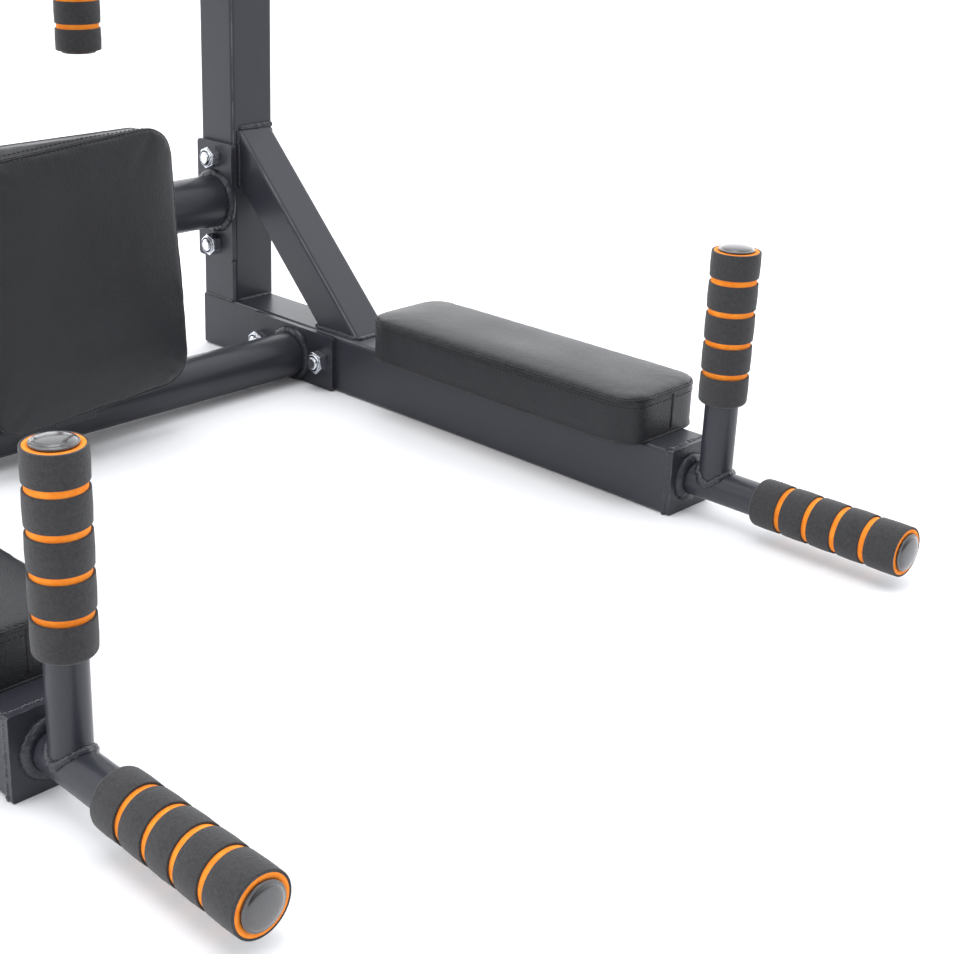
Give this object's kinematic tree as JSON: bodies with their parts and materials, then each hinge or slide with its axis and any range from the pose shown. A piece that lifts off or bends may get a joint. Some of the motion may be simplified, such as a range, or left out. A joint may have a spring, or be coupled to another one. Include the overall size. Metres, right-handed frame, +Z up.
{
  "type": "power tower",
  "caption": "Wall station power tower of square and round steel tube: padded dip arms with foam grips, padded back rest, hanging handles and a pull-up bar.",
  "frame": {"origin": "middle of the station's outline, on the plane its lower arms stand on", "axes": "+Z up; -Y is the way the arms point; +X to the right as seen from the front"},
  "size_m": [1.1388, 0.7744, 1.1],
  "materials": {
    "frame_steel": "semi-matt graphite powder coat",
    "foam_black": "matt closed-cell foam with fine grain",
    "foam_orange": "matt coloured foam layer",
    "cap_plastic": "glossy moulded plastic",
    "plug_plastic": "matt moulded plastic",
    "leatherette": "grained leatherette with a soft sheen",
    "plywood": "raw plywood",
    "zinc_steel": "bright zinc plating"
  },
  "bodies": {
    "root": {"upright_left": "frame_steel", "upright_right": "frame_steel", "arm_left": "frame_steel", "arm_right": "frame_steel", "arm_end_plate_left": "frame_steel", "arm_end_plate_right": "frame_steel", "brace_left": "frame_steel", "brace_right": "frame_steel", "level_handle_left": "frame_steel", "level_handle_right": "frame_steel", "handle_post_left": "frame_steel", "handle_post_right": "frame_steel", "post_grip_left": "foam_black", "post_grip_right": "foam_black", "level_grip_left": "foam_black", "level_grip_right": "foam_black", "grip_cores": "foam_orange", "handle_caps": "cap_plastic", "upper_cross_tube": "frame_steel", "lower_cross_tube": "frame_steel", "middle_cross_tube": "frame_steel", "upper_flanges": "frame_steel", "lower_flanges": "frame_steel", "middle_flanges": "frame_steel", "flange_bolts": "zinc_steel", "flange_washers": "zinc_steel", "flange_nuts": "zinc_steel", "back_cushion": "leatherette", "back_board": "plywood", "back_strap": "frame_steel", "back_standoffs": "frame_steel", "back_spacer": "frame_steel", "back_screws": "zinc_steel", "arm_cushion_left": "leatherette", "arm_cushion_right": "leatherette", "arm_board_left": "plywood", "arm_board_right": "plywood", "arm_screws": "zinc_steel", "hanging_handle_left": "frame_steel", "hanging_handle_right": "frame_steel", "hanging_grip_left": "foam_black", "hanging_grip_right": "foam_black", "hanging_cores": "foam_orange", "hanging_caps": "cap_plastic", "top_arm_left": "frame_steel", "top_arm_right": "frame_steel", "top_brace_left": "frame_steel", "top_brace_right": "frame_steel", "pullup_bar": "frame_steel", "bar_grip_left": "foam_black", "bar_grip_right": "foam_black", "bar_cores": "foam_orange", "bar_caps": "cap_plastic", "tube_plugs": "plug_plastic"}
  },
  "joints": []
}
